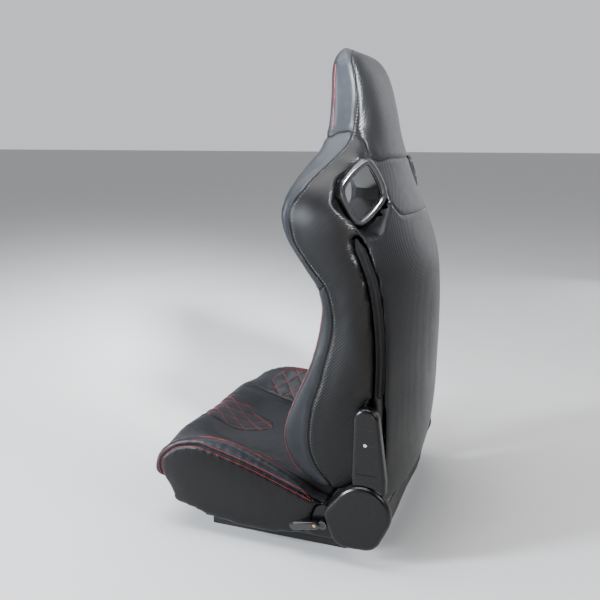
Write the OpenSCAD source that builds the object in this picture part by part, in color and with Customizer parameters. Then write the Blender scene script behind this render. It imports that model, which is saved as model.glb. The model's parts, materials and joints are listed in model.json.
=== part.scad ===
// Reclining racing seat on sliders, in millimetres, +Z up.
// The sitter faces -Y and +X is the sitter's left. The origin is the centre of the four floor
// bolts, on the underside of the lower rails. Profiles are given as [height or place, value]
// pairs, with y measured from the recliner pivot.

/* [Pivot and width] */
// Recliner pivot behind the centre of the floor bolts
pivot_y = 185; // [183:1:187]
// Recliner pivot above the floor
pivot_z = 98; // [97:1:99]
// Radius of the pivot bolts
pivot_r = 6; // [5.5:0.5:6.5]
// Half the width over the recliner covers
cover_x = 272; // [271:1:273]

/* [Sliders] */
// Length of a lower rail
rail_len = 284; // [280:2:286]
// Distance between the two rails, centre to centre
rail_gauge = 400; // [398:1:402]
// Distance between the floor bolts along a rail
bolt_pitch = 254; // [250:2:256]
// Radius of the floor bolt holes, for M8
floor_hole_r = 4.5; // [4.2:0.1:4.8]
// Thickness of the rail steel
rail_t = 2.5; // [2.3:0.1:2.6]

/* [Frame] */
// Radius of the backrest tubes
tube_r = 11; // [10:0.5:11]
// Radius of the seat cross tubes
seat_tube_r = 11; // [10:0.5:12]
// Radius of the suspension wires
wire_r = 2; // [1.5:0.5:2.5]
// Thickness of the recliner arm plates
arm_t = 5; // [4:0.5:5]
// Half height of a harness opening
slot_h = 48; // [46:1:49]
// Half width of a harness opening
slot_w = 40; // [38:1:41]

/* [Hidden] */
$fn = 48;

rail_x = rail_gauge / 2;
rail_mid = -pivot_y;
lower_h = 13;
upper_h = 30;
frame_x = 238;
frame_t = 4;
arm_x = 246;
shaft_y = -75;
shaft_z = 69;
shaft_r = 5;
run_gap = 0.05;
sector_r = 46;
cover_r = 61.5;

// ---- curves -------------------------------------------------------------------------------

function piece(t, p, i = 0) = (i >= len(p) - 2 || t < p[i + 1][0]) ? i : piece(t, p, i + 1);
function chord(p, i, j) = (p[j][1] - p[i][1]) / (p[j][0] - p[i][0]);
function slope(p, i) = chord(p, max(i - 1, 0), min(i + 1, len(p) - 1));
// Smooth curve through the pairs in p
function curve(t, p) =
    let (i = piece(t, p), h = p[i + 1][0] - p[i][0], s = min(max((t - p[i][0]) / h, 0), 1))
    (2*s*s*s - 3*s*s + 1) * p[i][1] + (s*s*s - 2*s*s + s) * h * slope(p, i)
    + (3*s*s - 2*s*s*s) * p[i + 1][1] + (s*s*s - s*s) * h * slope(p, i + 1);

// Backrest, by height: rear centre line, front edge, half width, centre pad face, crown of the rear
rear_line = [[95, 46], [150, 60], [220, 69], [300, 73], [440, 75], [527, 70], [569, 61], [610, 47],
    [651, 29], [692, 11], [732, -1], [773, -15], [813, -24], [852, -34], [892, -47], [920, -66],
    [936, -88]];
front_line = [[128, -86], [153, -134], [181, -155], [213, -165], [249, -162], [294, -146],
    [372, -113], [450, -95], [498, -95], [532, -111], [567, -134], [601, -154], [636, -163],
    [671, -158], [706, -145], [740, -133], [780, -126], [850, -121], [900, -121], [922, -118],
    [936, -112]];
half_width = [[128, 240], [250, 248], [350, 246], [440, 243], [500, 248], [560, 257], [620, 263],
    [650, 263], [680, 252], [700, 236], [720, 210], [740, 178], [760, 150], [780, 130],
    [800, 124], [870, 122], [900, 117], [922, 103], [936, 80]];
pad_line = [[120, -62], [200, -82], [260, -88], [400, -72], [500, -64], [600, -66], [700, -84],
    [740, -96]];
crown = [[95, 24], [292, 42], [384, 44], [471, 50], [514, 53], [577, 60], [612, 62], [680, 57],
    [740, 40]];
// Rear face of the foam, which leaves the frame its room
foam_back = [[120, -2], [330, -2], [440, -4], [527, -12], [590, -21], [690, -56], [740, -72]];
pad_half = [[120, 130], [540, 130], [600, 62], [740, 60]];
// Cushion, along the seat: top at the centre, at the side of the centre, at the crest, at the piping
centre_top = [[-443, 146], [-438, 160], [-428, 169], [-415, 169], [-390, 156], [-352, 134],
    [-315, 127], [-200, 122], [-95, 112], [-70, 108]];
flank_top = [[-443, 144], [-438, 158], [-428, 169], [-415, 175], [-390, 170], [-366, 161],
    [-325, 149], [-291, 140], [-200, 130], [-95, 112], [-70, 108]];
crest_top = [[-437, 144], [-430, 156], [-418, 168], [-400, 180], [-370, 192], [-335, 199],
    [-300, 200], [-259, 192], [-218, 177], [-177, 161], [-139, 142], [-115, 124], [-95, 112],
    [-70, 108]];
piping_top = [[-431, 125], [-421, 147], [-407, 160], [-392, 172], [-373, 180], [-345, 184],
    [-315, 181], [-273, 171], [-220, 156], [-167, 137], [-116, 116], [-95, 110], [-70, 106]];
hem = [[-420, 107], [-405, 86], [-394, 62], [-357, 54], [-304, 40], [-202, 32], [-109, 44]];

// ---- shared shapes ------------------------------------------------------------------------

module from_pivot() translate([0, pivot_y, 0]) children();
module side(s) mirror([s < 0 ? 1 : 0, 0, 0]) children();
// Along X, starting at x, at place y and height z
module across(x, y, z) translate([x, y, z]) rotate([0, 90, 0]) children();
// A profile drawn in Y and Z, extruded along X
module slab(x, t) translate([x, 0, 0]) rotate([90, 0, 90]) linear_extrude(t) children();

// Solid through rings of the same number of points, each counter-clockwise from above
module loft(rings, thin = false) {
    n = len(rings[0]);
    last = (len(rings) - 1) * n;
    sides = [for (i = [0:len(rings) - 2], j = [0:n - 1])
        let (a = i * n + j, b = i * n + (j + 1) % n) each [[a, a + n, b + n], [a, b + n, b]]];
    caps = !thin ? [[for (j = [0:n - 1]) j], [for (j = [n - 1:-1:0]) last + j]]
        : [for (j = [0:n / 2 - 2]) each [[j, j + 1, n - 2 - j, n - 1 - j],
            [last + n - 1 - j, last + n - 2 - j, last + j + 1, last + j]]];
    polyhedron([for (r = rings) each r], concat(sides, caps), convexity = 8);
}

// Straight tube between two points
module bar(a, b, r) {
    v = b - a;
    translate(a) rotate([0, acos(v[2] / norm(v)), atan2(v[1], v[0])]) cylinder(r = r, h = norm(v));
}

// Rounded plate of several circles [y, z, r] with a domed outer edge, from x to x + t
module domed(circles, x, t, edge, inset = 0) {
    steps = 4;
    hull() for (c = circles, i = [0:steps]) let (a = 90 * i / steps)
        across(x, c[0], c[1]) cylinder(r = c[2] - inset - edge * (1 - cos(a)),
            h = t - inset - edge * (1 - sin(a)), $fn = 72);
}

// Diamond with its corners cut
module diamond(w, h, cut = 8) {
    k = cut / w;
    m = cut / h;
    polygon([[w, h * k], [w * m, h], [-w * m, h], [-w, h * k], [-w, -h * k], [-w * m, -h],
        [w * m, -h], [w, -h * k]]);
}

// ---- sliders ------------------------------------------------------------------------------

module lower_rail() {
    w = 16;
    lip = 5;
    difference() {
        translate([rail_x, rail_mid + rail_len / 2, 0]) rotate([90, 0, 0]) linear_extrude(rail_len)
            difference() {
                translate([-w, 0]) square([2 * w, lower_h]);
                translate([rail_t - w, rail_t]) square([2 * (w - rail_t), lower_h - 2 * rail_t]);
                translate([lip - w, lower_h - 2 * rail_t]) square([2 * (w - lip), 3 * rail_t]);
            }
        for (e = [-1, 1]) translate([rail_x, rail_mid + e * bolt_pitch / 2, -1])
            cylinder(r = floor_hole_r, h = rail_t + 2);
    }
}

module upper_rail() {
    w = 10;
    flange = 12.8;
    flange_z = 4.5;
    upper_len = rail_len - 14;
    difference() {
        translate([rail_x, rail_mid + upper_len / 2, 0]) rotate([90, 0, 0])
            linear_extrude(upper_len) {
                translate([-w, upper_h - rail_t]) square([2 * w, rail_t]);
                for (e = [0, 1]) mirror([e, 0]) {
                    translate([w - rail_t, flange_z]) square([rail_t, upper_h - flange_z]);
                    translate([w - rail_t, flange_z]) square([flange - w + rail_t, 2]);
                }
            }
        for (y = rail_bolt_y) translate([rail_x, y, upper_h - 2 * rail_t])
            cylinder(r = 4, h = 3 * rail_t);
    }
}

rail_bolt_y = [-290, -80];
shoe_y = [-245, -125];

module glide_shoes() color("ivory") from_pivot()
    for (s = [-1, 1], y = shoe_y, e = [-1, 1])
        translate([s * rail_x + e * 11.7, y, 8.45]) cube([3, 34, 3.3], center = true);

module rail_bolts() color("silver") from_pivot() for (s = [-1, 1], y = rail_bolt_y)
    translate([s * rail_x, y, 0]) {
        translate([0, 0, 21]) cylinder(r = 4, h = 13);
        translate([0, 0, 21]) cylinder(r = 6.5, h = 6.4, $fn = 6);
        translate([0, 0, 33.3]) cylinder(r = 6.5, h = 5, $fn = 6);
    }

module lower_rail_left() color("dimgray") from_pivot() side(1) lower_rail();
module lower_rail_right() color("dimgray") from_pivot() side(-1) lower_rail();
module upper_rail_left() color("dimgray") from_pivot() side(1) upper_rail();
module upper_rail_right() color("dimgray") from_pivot() side(-1) upper_rail();

// Bar under the front of the cushion that unlocks both sliders
bar_r = 4.5;
bar_pivot = [-240, 40];
bar_front = [-316, 24];
module release_bar() color("dimgray") from_pivot() {
    x = 172;
    translate([0, bar_front[0], bar_front[1]]) rotate([0, 90, 0])
        cylinder(r = bar_r, h = 2 * x, center = true);
    for (s = [-1, 1]) {
        bar([s * x, bar_front[0], bar_front[1]], [s * x, bar_pivot[0], bar_pivot[1]], bar_r);
        translate([s * x, bar_front[0], bar_front[1]]) sphere(r = bar_r);
        side(s) across(x - bar_r, bar_pivot[0], bar_pivot[1]) cylinder(r = bar_r, h = 74);
        side(s) translate([x - 2, bar_pivot[0], bar_pivot[1] - 2]) cube([9, 34, 4]);
        side(s) translate([x + 7, bar_pivot[0] + 14, 15]) cube([3, 20, bar_pivot[1] - 13]);
    }
}

module release_bar_springs() color("silver") from_pivot() for (s = [-1, 1]) side(s)
    for (i = [0:6]) across(200 + 3.2 * i, bar_pivot[0], bar_pivot[1]) difference() {
        cylinder(r = 6.5, h = 2);
        translate([0, 0, -1]) cylinder(r = 4.8, h = 4);
    }

// ---- seat base ----------------------------------------------------------------------------

module side_frame() {
    foot_y = -330;
    difference() {
        union() {
            slab(frame_x, frame_t) hull() {
                translate([foot_y, 33.2]) square([280, 42]);
                translate([-86, 33.2]) square([100, 52]);
            }
            slab(frame_x, frame_t) hull() {
                translate([-86, 40]) square([100, 40]);
                translate([0, pivot_z]) circle(r = 34);
                translate([shaft_y, shaft_z]) circle(r = 14);
            }
            translate([188, foot_y, upper_h + 0.2]) cube([frame_x + frame_t - 188, 285, 3]);
        }
        across(frame_x - 1, 0, pivot_z) cylinder(r = pivot_r, h = frame_t + 2);
        across(frame_x - 1, shaft_y, shaft_z) cylinder(r = shaft_r + run_gap, h = frame_t + 2);
        across(frame_x - 5, bar_pivot[0], bar_pivot[1]) cylinder(r = bar_r + run_gap, h = 12);
        for (y = rail_bolt_y) translate([rail_x, y, 29]) cylinder(r = 4, h = 6);
    }
}

module side_frame_left() color("dimgray") from_pivot() side(1) side_frame();
module side_frame_right() color("dimgray") from_pivot() side(-1) side_frame();

module seat_tube(y, z) from_pivot() across(-frame_x, y, z)
    cylinder(r = seat_tube_r, h = 2 * frame_x);
module front_cross_tube() color("dimgray") seat_tube(-290, 62);
module rear_cross_tube() color("dimgray") seat_tube(-118, 60);

// Zigzag wires from the front tube to the rear tube, under the centre pad
module seat_springs() color("silver") from_pivot() {
    z = 88;
    first = -286;
    pitch = 28;
    legs = 7;
    for (x = [-105, -35, 35, 105]) {
        for (i = [0:legs - 1]) let (e = i % 2 == 0 ? -1 : 1) {
            bar([x - 22 * e, first + i * pitch, z], [x + 22 * e, first + i * pitch, z], wire_r);
            translate([x + 22 * e, first + i * pitch, z]) sphere(r = wire_r, $fn = 24);
            translate([x - 22 * e, first + i * pitch, z]) sphere(r = wire_r, $fn = 24);
            if (i < legs - 1) bar([x + 22 * e, first + i * pitch, z],
                [x + 22 * e, first + (i + 1) * pitch, z], wire_r);
        }
        bar([x + 22, first, z], [x + 22, first, 70], wire_r);
        bar([x - 22, first + (legs - 1) * pitch, z],
            [x - 22, first + (legs - 1) * pitch, 68], wire_r);
    }
}

// Top of the cushion at distance u from the middle
function cushion_z(u, y) = curve(u, [[0, curve(y, centre_top)], [67, curve(y, centre_top) + 2],
    [150, curve(y, flank_top)], [232, curve(y, crest_top) - 5], [245, curve(y, crest_top)],
    [256, curve(y, piping_top)]]);

// A block of the cushion between distances u0 and u1, from the front to the rear
module cushion_block(u0, u1, steps, front, rear, base) {
    count = 26;
    loft([for (i = [0:count]) let (y = front + (rear - front) * i / count)
        [each [for (j = [0:steps]) let (u = u0 + (u1 - u0) * j / steps) [u, y, cushion_z(abs(u), y)]],
         [u1, y, curve(y, base)], [u0, y, curve(y, base)]]]);
}

pad_base = [[-443, 112], [-425, 86], [-400, 74], [-340, 76], [-322, 92], [-70, 92]];
bolster_base = [[-437, 112], [-424, 107], [-404, 94], [-70, 94]];
module seat_centre_pad() color("black") from_pivot()
    cushion_block(-149.8, 149.8, 18, -443, -72, pad_base);
module seat_bolster_left() color("black") from_pivot() difference() {
    cushion_block(150.2, 256, 12, -436, -72, bolster_base);
    translate([242.6, -97, 90]) cube([20, 30, 14.8]);
}
module seat_bolster_right() mirror([1, 0, 0]) seat_bolster_left();

// Carbon-look side panel that hangs over the frame, cut on the slant at the rear
module side_skirt() {
    top = 91.4;
    slab(252.6, 3.4) polygon([each [for (y = [-412:8:-116]) [y, curve(y, hem)]], [-112, 45],
        [-108.5, 54], [-107.5, 63], [-96.5, top], [-402, top], [-412, 97.5]]);
}
module side_skirt_left() color("black") from_pivot() side(1) side_skirt();
module side_skirt_right() color("black") from_pivot() side(-1) side_skirt();

flap_x = 196;
// Soft flap behind the base, from under the rear panel down to the rails
module rear_flap() color("black") from_pivot()
    slab(-flap_x, 2 * flap_x) polygon([[15, 10], [18, 10], [32, 84], [30, 92], [27, 92], [29, 84]]);

module pivot_bolts() color("silver") from_pivot() for (s = [-1, 1]) side(s) {
    across(frame_x - 8, 0, pivot_z) cylinder(r = pivot_r, h = 28);
    across(arm_x + arm_t + 0.5, 0, pivot_z) cylinder(r = 11, h = 7, $fn = 6);
    across(frame_x - 8, 0, pivot_z) cylinder(r = 11, h = 8, $fn = 6);
}

module pivot_spacers() color("silver") from_pivot() for (s = [-1, 1]) side(s)
    difference() {
        across(frame_x + frame_t, 0, pivot_z) cylinder(r = 14, h = 3.6);
        across(frame_x, 0, pivot_z) cylinder(r = pivot_r, h = 9);
    }

// Spiral springs that lift the backrest, one turn after another as rings joined by a bar
module return_springs() color("silver") from_pivot() for (s = [-1, 1]) side(s) {
    for (r = [16, 21, 26]) across(frame_x - 7, 0, pivot_z) difference() {
        cylinder(r = r + 1, h = 5);
        translate([0, 0, -1]) cylinder(r = r - 1, h = 7);
    }
    translate([frame_x - 7, 15.5, pivot_z - 1.5]) cube([5, 11, 3]);
}

cover_discs = [[0, 106, 54], [-45, 93, 27], [-28, 66, 33], [4, 68, 34]];
module recliner_cover(discs, depth) difference() {
    domed(discs, 255.2, depth, 9);
    domed(discs, 254, depth + 1.2, 8, 2.6);
}
module recliner_cover_left() color("black") from_pivot() side(1)
    recliner_cover(cover_discs, cover_x - 255.2);
// The right side has a plain hinge, so its cover is smaller
module hinge_cover_right() color("black") from_pivot() side(-1)
    recliner_cover([[-9, 99, 38], [-30, 84, 24]], 11);

inner_discs = [[-92, 56, 15], [-76, 86, 18], [-54, 54, 14]];
module inner_cover() color("black") from_pivot() difference() {
    hull() for (c = inner_discs) across(243, c[0], c[1]) cylinder(r = c[2], h = 11.7);
    hull() for (c = inner_discs) across(242, c[0], c[1]) cylinder(r = c[2] - 2.4, h = 10.2);
    translate([242, -66, 20]) cube([10.2, 80, 110]);
    across(250, shaft_y, shaft_z) cylinder(r = shaft_r + 1, h = 8);
}

// ---- recline release ----------------------------------------------------------------------

module release_shaft() color("silver") from_pivot() {
    across(226, shaft_y, shaft_z) cylinder(r = shaft_r, h = 41);
    across(224, shaft_y, shaft_z) cylinder(r = shaft_r + 3, h = 6);
}

// Arm on the shaft whose toothed end stands just clear of the sector's teeth
module pawl() color("silver") from_pivot() slab(arm_x, arm_t) difference() {
    union() {
        translate([shaft_y, shaft_z]) circle(r = 11);
        intersection() {
            hull() {
                translate([shaft_y, shaft_z]) circle(r = 8);
                translate([-26, 46]) circle(r = 12);
            }
            difference() {
                translate([-120, 0]) square([120, 120]);
                translate([0, pivot_z]) circle(r = sector_r + 6.4);
            }
        }
    }
    translate([shaft_y, shaft_z]) circle(r = shaft_r);
}

module recline_lever() color("black") from_pivot() difference() {
    union() {
        across(258.5, shaft_y, shaft_z) cylinder(r = 8.5, h = 8.5);
        hull() {
            across(261, shaft_y - 12, 67) cylinder(r1 = 7, r2 = 7, h = 8, $fn = 32);
            across(262, shaft_y - 12, 67) cylinder(r = 5, h = 9, $fn = 32);
            across(260.5, -131, 59) cylinder(r = 8.5, h = 9, $fn = 32);
            across(262, -130, 59) cylinder(r = 6, h = 11, $fn = 32);
        }
    }
    across(250, shaft_y, shaft_z) cylinder(r = shaft_r, h = 30);
    across(266, shaft_y - 15, 67) cylinder(r = 3.4, h = 8);
}

module lever_screw() color("goldenrod") from_pivot()
    across(266, shaft_y - 15, 67) cylinder(r = 3.2, h = 4.4);

// ---- backrest -----------------------------------------------------------------------------

module arm_plate(teeth) {
    slab(arm_x, arm_t) difference() {
        union() {
            translate([0, pivot_z]) circle(r = teeth > 0 ? sector_r : 30);
            if (teeth > 0) for (i = [0:teeth - 1]) translate([0, pivot_z]) rotate(188 + 5.5 * i)
                polygon([[sector_r - 2, -1.9], [sector_r + 4.5, -0.8], [sector_r + 4.5, 0.8],
                    [sector_r - 2, 1.9]]);
            hull() {
                translate([4, pivot_z]) circle(r = teeth > 0 ? 34 : 28);
                translate([6, 190]) circle(r = 17);
            }
            hull() {
                translate([6, 190]) circle(r = 17);
                translate([5, 282]) circle(r = 15);
            }
        }
        translate([0, pivot_z]) circle(r = pivot_r + run_gap);
        for (z = arm_bolt_z) translate([upright_y, z]) circle(r = 4);
    }
}
module arm_plate_left() color("dimgray") from_pivot() side(1) arm_plate(20);
module arm_plate_right() color("dimgray") from_pivot() side(-1) arm_plate(0);

arm_bolt_z = [190, 268];
upright_x = 216;
upright_y = 13;
module arm_bolts() color("silver") from_pivot() for (s = [-1, 1], z = arm_bolt_z) side(s) {
    across(upright_x, upright_y, z) cylinder(r = 4, h = 36);
    across(arm_x + arm_t + 0.1, upright_y, z) cylinder(r = 6.5, h = 4, $fn = 6);
}

// Upright cover over the arm plate: round top, flared foot that follows the recliner cover
module arm_cover(foot) {
    discs = [[4, 284, 23], [8, 205, 24], [-4, 172, 17], [foot, 172, 18], [4, 150, 22], [foot, 150, 18]];
    difference() {
        domed(discs, 247.5, 19, 7);
        domed(discs, 246, 18.6, 6, 2.4);
        across(240, 0, pivot_z) cylinder(r = cover_r + 3, h = 40, $fn = 120);
        across(260, 4, 240) cylinder(r = 3.4, h = 12);
        translate([265.7, -11, 183]) cube([4, 38, 12]);
    }
}
module arm_cover_left() color("black") from_pivot() side(1) arm_cover(24);
module arm_cover_right() color("black") from_pivot() side(-1) arm_cover(14);
module arm_cover_screws() color("silver") from_pivot() for (s = [-1, 1]) side(s) {
    across(arm_x + arm_t, 4, 240) cylinder(r = 3, h = 14.6);
    across(264.9, 4, 240) cylinder(r = 3.2, h = 1.8);
}

upright_top = [185, -6, 590];
waist = [206, 10, 470];
module upright() {
    foot = [upright_x, upright_y, 122];
    knee = [upright_x, upright_y, 300];
    difference() {
        union() {
            bar(foot, knee, tube_r);
            bar(knee, waist, tube_r);
            bar(waist, upright_top, tube_r);
            for (p = [knee, waist, upright_top]) translate(p) sphere(r = tube_r + 0.4);
        }
        for (z = arm_bolt_z) across(upright_x - 1, upright_y, z) cylinder(r = 4, h = 40);
    }
}
module back_upright_left() color("dimgray") from_pivot() side(1) upright();
module back_upright_right() color("dimgray") from_pivot() side(-1) upright();

module back_lower_tube() color("dimgray") from_pivot() difference() {
    across(-upright_x, upright_y, 140) cylinder(r = tube_r - 1.5, h = 2 * upright_x);
    for (s = [-1, 1]) bar([s * upright_x, upright_y, 100], [s * upright_x, upright_y, 180], tube_r);
}
module back_upper_tube() color("dimgray") from_pivot() difference() {
    across(-upright_top[0], upright_top[1], 580) cylinder(r = tube_r - 1.5, h = 2 * upright_top[0]);
    for (s = [-1, 1]) side(s) bar(waist, upright_top, tube_r);
    for (s = [-1, 1]) side(s) translate(upright_top) sphere(r = tube_r + 0.4);
}

// Loop that carries the headrest, standing on the upper tube
loop_x = 46;
loop_r = 7;
loop_tilt = 15;
loop_leg = 278;
module on_loop() translate([0, upright_top[1], 580]) rotate([loop_tilt, 0, 0]) children();
module loop_shape(r) on_loop() {
    for (s = [-1, 1]) translate([s * loop_x, 0, 0]) cylinder(r = r, h = loop_leg);
    translate([0, 0, loop_leg]) rotate([90, 0, 0]) rotate_extrude(angle = 180)
        translate([loop_x, 0]) circle(r = r);
}
module head_loop() color("dimgray") from_pivot() difference() {
    loop_shape(loop_r);
    across(-200, upright_top[1], 580) cylinder(r = tube_r - 1.5, h = 400);
}

module back_springs() color("silver") from_pivot() for (z = [200, 270, 340, 410]) {
    zig = 20;
    half = 170;
    y = 14;
    reach = z < 320 ? upright_x : upright_x - (z - 300) / 17;
    for (s = [-1, 1]) bar([s * half, y, z], [s * (reach - 1), y, z], wire_r);
    for (i = [-4:3]) {
        a = [i * half / 4, y, z + (i % 2 == 0 ? 0 : zig)];
        b = [(i + 1) * half / 4, y, z + (i % 2 == 0 ? zig : 0)];
        bar(a, b, wire_r);
        translate(a) sphere(r = wire_r, $fn = 24);
        translate(b) sphere(r = wire_r, $fn = 24);
    }
}

// Ring of a wing at height z: inner face, front lip, outer side, rear corner
function strip_x(z) = curve(z, half_width) - 20;
function strip_y(z) = curve(z, rear_line) - curve(z, crown);
function wing_ring(z) = let (w = curve(z, half_width), f = curve(z, front_line),
        c = curve(z, pad_half), b = curve(z, foam_back), p = curve(z, pad_line), r = 14,
        low = z < 316, ox = low ? w - 4 : w - 5, oy = low ? min(b, (z - 150) * 2.4) : strip_y(z) - 19,
        ix = low ? w - 12 : w - 16, iy = low ? min(b, (z - 150) * 2.4) : oy - 3,
        jx = low ? w - 40 : strip_x(z) - 8, jy = min(b, iy))
    [[c + 0.2, min(b, iy)], [c + 0.2, p], [c + 18, p - 5],
     each [for (a = [205:27:340]) [w - 20 + r * cos(a) * 1.2, f + r + r * sin(a)]],
     [w - 4, f + 32], [w, (f + oy) / 2], [w - 1.5, oy - 12], [ox, oy], [ix, iy], [jx, jy]];
back_rows = [for (i = [0:38]) 130 + 16 * i];
module back_wing() {
    difference() {
        loft([for (z = back_rows) [for (p = wing_ring(z)) [p[0], p[1], z]]]);
        harness_room();
    }
}
module back_wing_left() color("black") from_pivot() side(1) back_wing();
module back_wing_right() color("black") from_pivot() side(-1) back_wing();

module back_centre_pad() color("black") from_pivot() {
    loft([for (z = back_rows) let (c = curve(z, pad_half),
            p = curve(z, pad_line), b = min(curve(z, foam_back), (z - 120) * 3))
        [[-c, b, z], [-c, p, z], [-c / 2, p + 3, z], [0, p + 4, z], [c / 2, p + 3, z], [c, p, z],
         [c, b, z]]]);
}

// Headrest, moulded in one with the backrest, with a pocket for the loop
head_crown = [[738, 40], [790, 32], [850, 28], [900, 22], [936, 8]];
head_sides = [[738, 2], [790, 3.4], [936, 4]];
module headrest_pad() color("black") from_pivot() difference() {
    n = 14;
    loft([for (z = [738.4, 750, 760, 770, 780, 795, 810, 830, 850, 870, 890, 905, 918, 928, 936])
        let (w = curve(z, half_width), f = curve(z, front_line), r = curve(z, rear_line),
            k = curve(z, head_crown), e = curve(z, head_sides))
        [each [for (i = [0:n]) let (u = sin(90 * (2 * i / n - 1)))
            [w * u, f + 12 * pow(abs(u), 8), z]],
         each [for (i = [n:-1:0]) let (u = sin(90 * (2 * i / n - 1)))
            [w * u, r - k * pow(abs(u), e), z]]]]);
    loop_shape(loop_r + 0.4);
}

// Thin carbon-look panels over the back of the frame, joined under the harness openings and
// narrowed there to stay clear of the bezels
panel_split = 634;
panel_reach = [[604, 242], [634, 142], [654, 134], [666, 130], [684, 127], [702, 138], [736, 158]];
module panel(low, high, rows) {
    t = 3.5;
    across_n = 12;
    loft([for (i = [0:rows]) let (z = low + (high - low) * i / rows, edge = strip_x(z) - 0.4,
            w = min(edge, lookup(z, panel_reach)), y = curve(z, rear_line), k = curve(z, crown))
        [each [for (j = [0:across_n]) let (x = w * (2 * j / across_n - 1))
                [x, y - t - k * pow(x / edge, 2), z]],
         each [for (j = [across_n:-1:0]) let (x = w * (2 * j / across_n - 1))
                [x, y - k * pow(x / edge, 2), z]]]], thin = true);
}
module rear_panel() color("black") from_pivot() panel(96, panel_split - 0.2, 18);
module shoulder_panel() color("black") from_pivot() panel(panel_split + 0.2, 736, 6);

// Recessed dark strip between the side and the rear panel
module zip_strip() loft([for (i = [0:12]) let (z = 318 + 288 * i / 12, w = curve(z, half_width),
        x = strip_x(z), y = strip_y(z))
    [[x + 0.5, y - 4.5, z], [w - 8, y - 18.5, z], [w - 6, y - 16.5, z], [x + 2.5, y - 2.5, z]]]);
module zip_strip_left() color("black") from_pivot() side(1) zip_strip();
module zip_strip_right() color("black") from_pivot() side(-1) zip_strip();

// Frame of a harness opening: its centre on the rear, facing out and back
bezel_centre = [173, -37, 678];
bezel_turn = 51.5;
module harness_axis() translate(bezel_centre) rotate([0, 0, bezel_turn - 90])
    rotate([0, -8, 0]) rotate([-90, 0, 0]) children();
// Room for a harness tube and for the bezel's flange
module harness_room() harness_axis() {
    translate([0, 0, -130]) linear_extrude(200) diamond(slot_w + 3.3, slot_h + 3.3);
    translate([0, 0, -1.3]) linear_extrude(60) diamond(slot_w + 12.4, slot_h + 11.4, 12);
}
module harness_bezel() harness_axis() difference() {
    hull() {
        translate([0, 0, -1]) linear_extrude(1) diamond(slot_w + 12, slot_h + 11, 12);
        translate([0, 0, 4]) linear_extrude(2) diamond(slot_w + 11, slot_h + 10, 12);
        translate([0, 0, 7]) linear_extrude(1) diamond(slot_w + 7, slot_h + 6, 12);
    }
    hull() {
        translate([0, 0, -3]) linear_extrude(1) diamond(slot_w + 0.3, slot_h + 0.3);
        translate([0, 0, 8.5]) linear_extrude(1) diamond(slot_w + 5, slot_h + 5);
    }
}
module harness_tube() harness_axis() difference() {
    translate([0, 0, -72]) linear_extrude(70.8) diamond(slot_w + 3, slot_h + 3);
    translate([0, 0, -73]) linear_extrude(74) diamond(slot_w, slot_h);
}
module harness_bezel_left() color("dimgray") from_pivot() side(1) harness_bezel();
module harness_bezel_right() color("dimgray") from_pivot() side(-1) harness_bezel();
module harness_tube_left() color("black") from_pivot() side(1) harness_tube();
module harness_tube_right() color("black") from_pivot() side(-1) harness_tube();

lower_rail_left();
lower_rail_right();
upper_rail_left();
upper_rail_right();
glide_shoes();
rail_bolts();
release_bar();
release_bar_springs();
side_frame_left();
side_frame_right();
front_cross_tube();
rear_cross_tube();
seat_springs();
seat_centre_pad();
seat_bolster_left();
seat_bolster_right();
side_skirt_left();
side_skirt_right();
rear_flap();
pivot_bolts();
pivot_spacers();
return_springs();
recliner_cover_left();
hinge_cover_right();
inner_cover();
release_shaft();
pawl();
recline_lever();
lever_screw();
arm_plate_left();
arm_plate_right();
arm_bolts();
arm_cover_left();
arm_cover_right();
arm_cover_screws();
back_upright_left();
back_upright_right();
back_lower_tube();
back_upper_tube();
head_loop();
back_springs();
back_centre_pad();
back_wing_left();
back_wing_right();
headrest_pad();
rear_panel();
shoulder_panel();
zip_strip_left();
zip_strip_right();
harness_bezel_left();
harness_bezel_right();
harness_tube_left();
harness_tube_right();
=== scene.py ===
import bpy, bmesh, json, math
import numpy as np
from mathutils import Vector, Matrix
from mathutils.bvhtree import BVHTree
from mathutils.kdtree import KDTree


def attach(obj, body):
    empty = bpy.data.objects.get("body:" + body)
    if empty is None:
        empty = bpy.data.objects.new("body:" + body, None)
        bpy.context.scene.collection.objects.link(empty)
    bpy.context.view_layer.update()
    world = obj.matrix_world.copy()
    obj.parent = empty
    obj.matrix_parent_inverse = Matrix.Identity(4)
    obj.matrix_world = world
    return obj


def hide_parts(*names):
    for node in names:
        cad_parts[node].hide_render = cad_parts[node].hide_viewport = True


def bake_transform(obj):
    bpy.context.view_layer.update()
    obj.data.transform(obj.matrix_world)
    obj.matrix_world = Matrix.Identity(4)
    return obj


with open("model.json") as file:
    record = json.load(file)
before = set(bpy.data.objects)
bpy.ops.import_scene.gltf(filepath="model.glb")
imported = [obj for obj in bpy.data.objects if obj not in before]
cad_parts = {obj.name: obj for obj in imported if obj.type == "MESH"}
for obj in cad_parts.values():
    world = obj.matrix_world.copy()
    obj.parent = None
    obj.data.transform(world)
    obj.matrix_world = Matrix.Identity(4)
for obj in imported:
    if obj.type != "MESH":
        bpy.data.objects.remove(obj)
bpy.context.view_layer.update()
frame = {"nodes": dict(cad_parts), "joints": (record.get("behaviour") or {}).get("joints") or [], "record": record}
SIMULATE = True
JOINTS = {j["name"]: j for j in frame["joints"]}
PIVOT = np.array(JOINTS["recline"]["pos_m"], float)
SHIFT = np.array([0, PIVOT[1], 0])   # places are written in mm from the recliner pivot, as the CAD does


def metres(p):
    """Places in mm from the pivot, as metres in the shared frame."""
    return np.asarray(p, float) / 1000 + SHIFT


def mm(p):
    """The same the other way."""
    return (np.asarray(p, float) - SHIFT) * 1000


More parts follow.
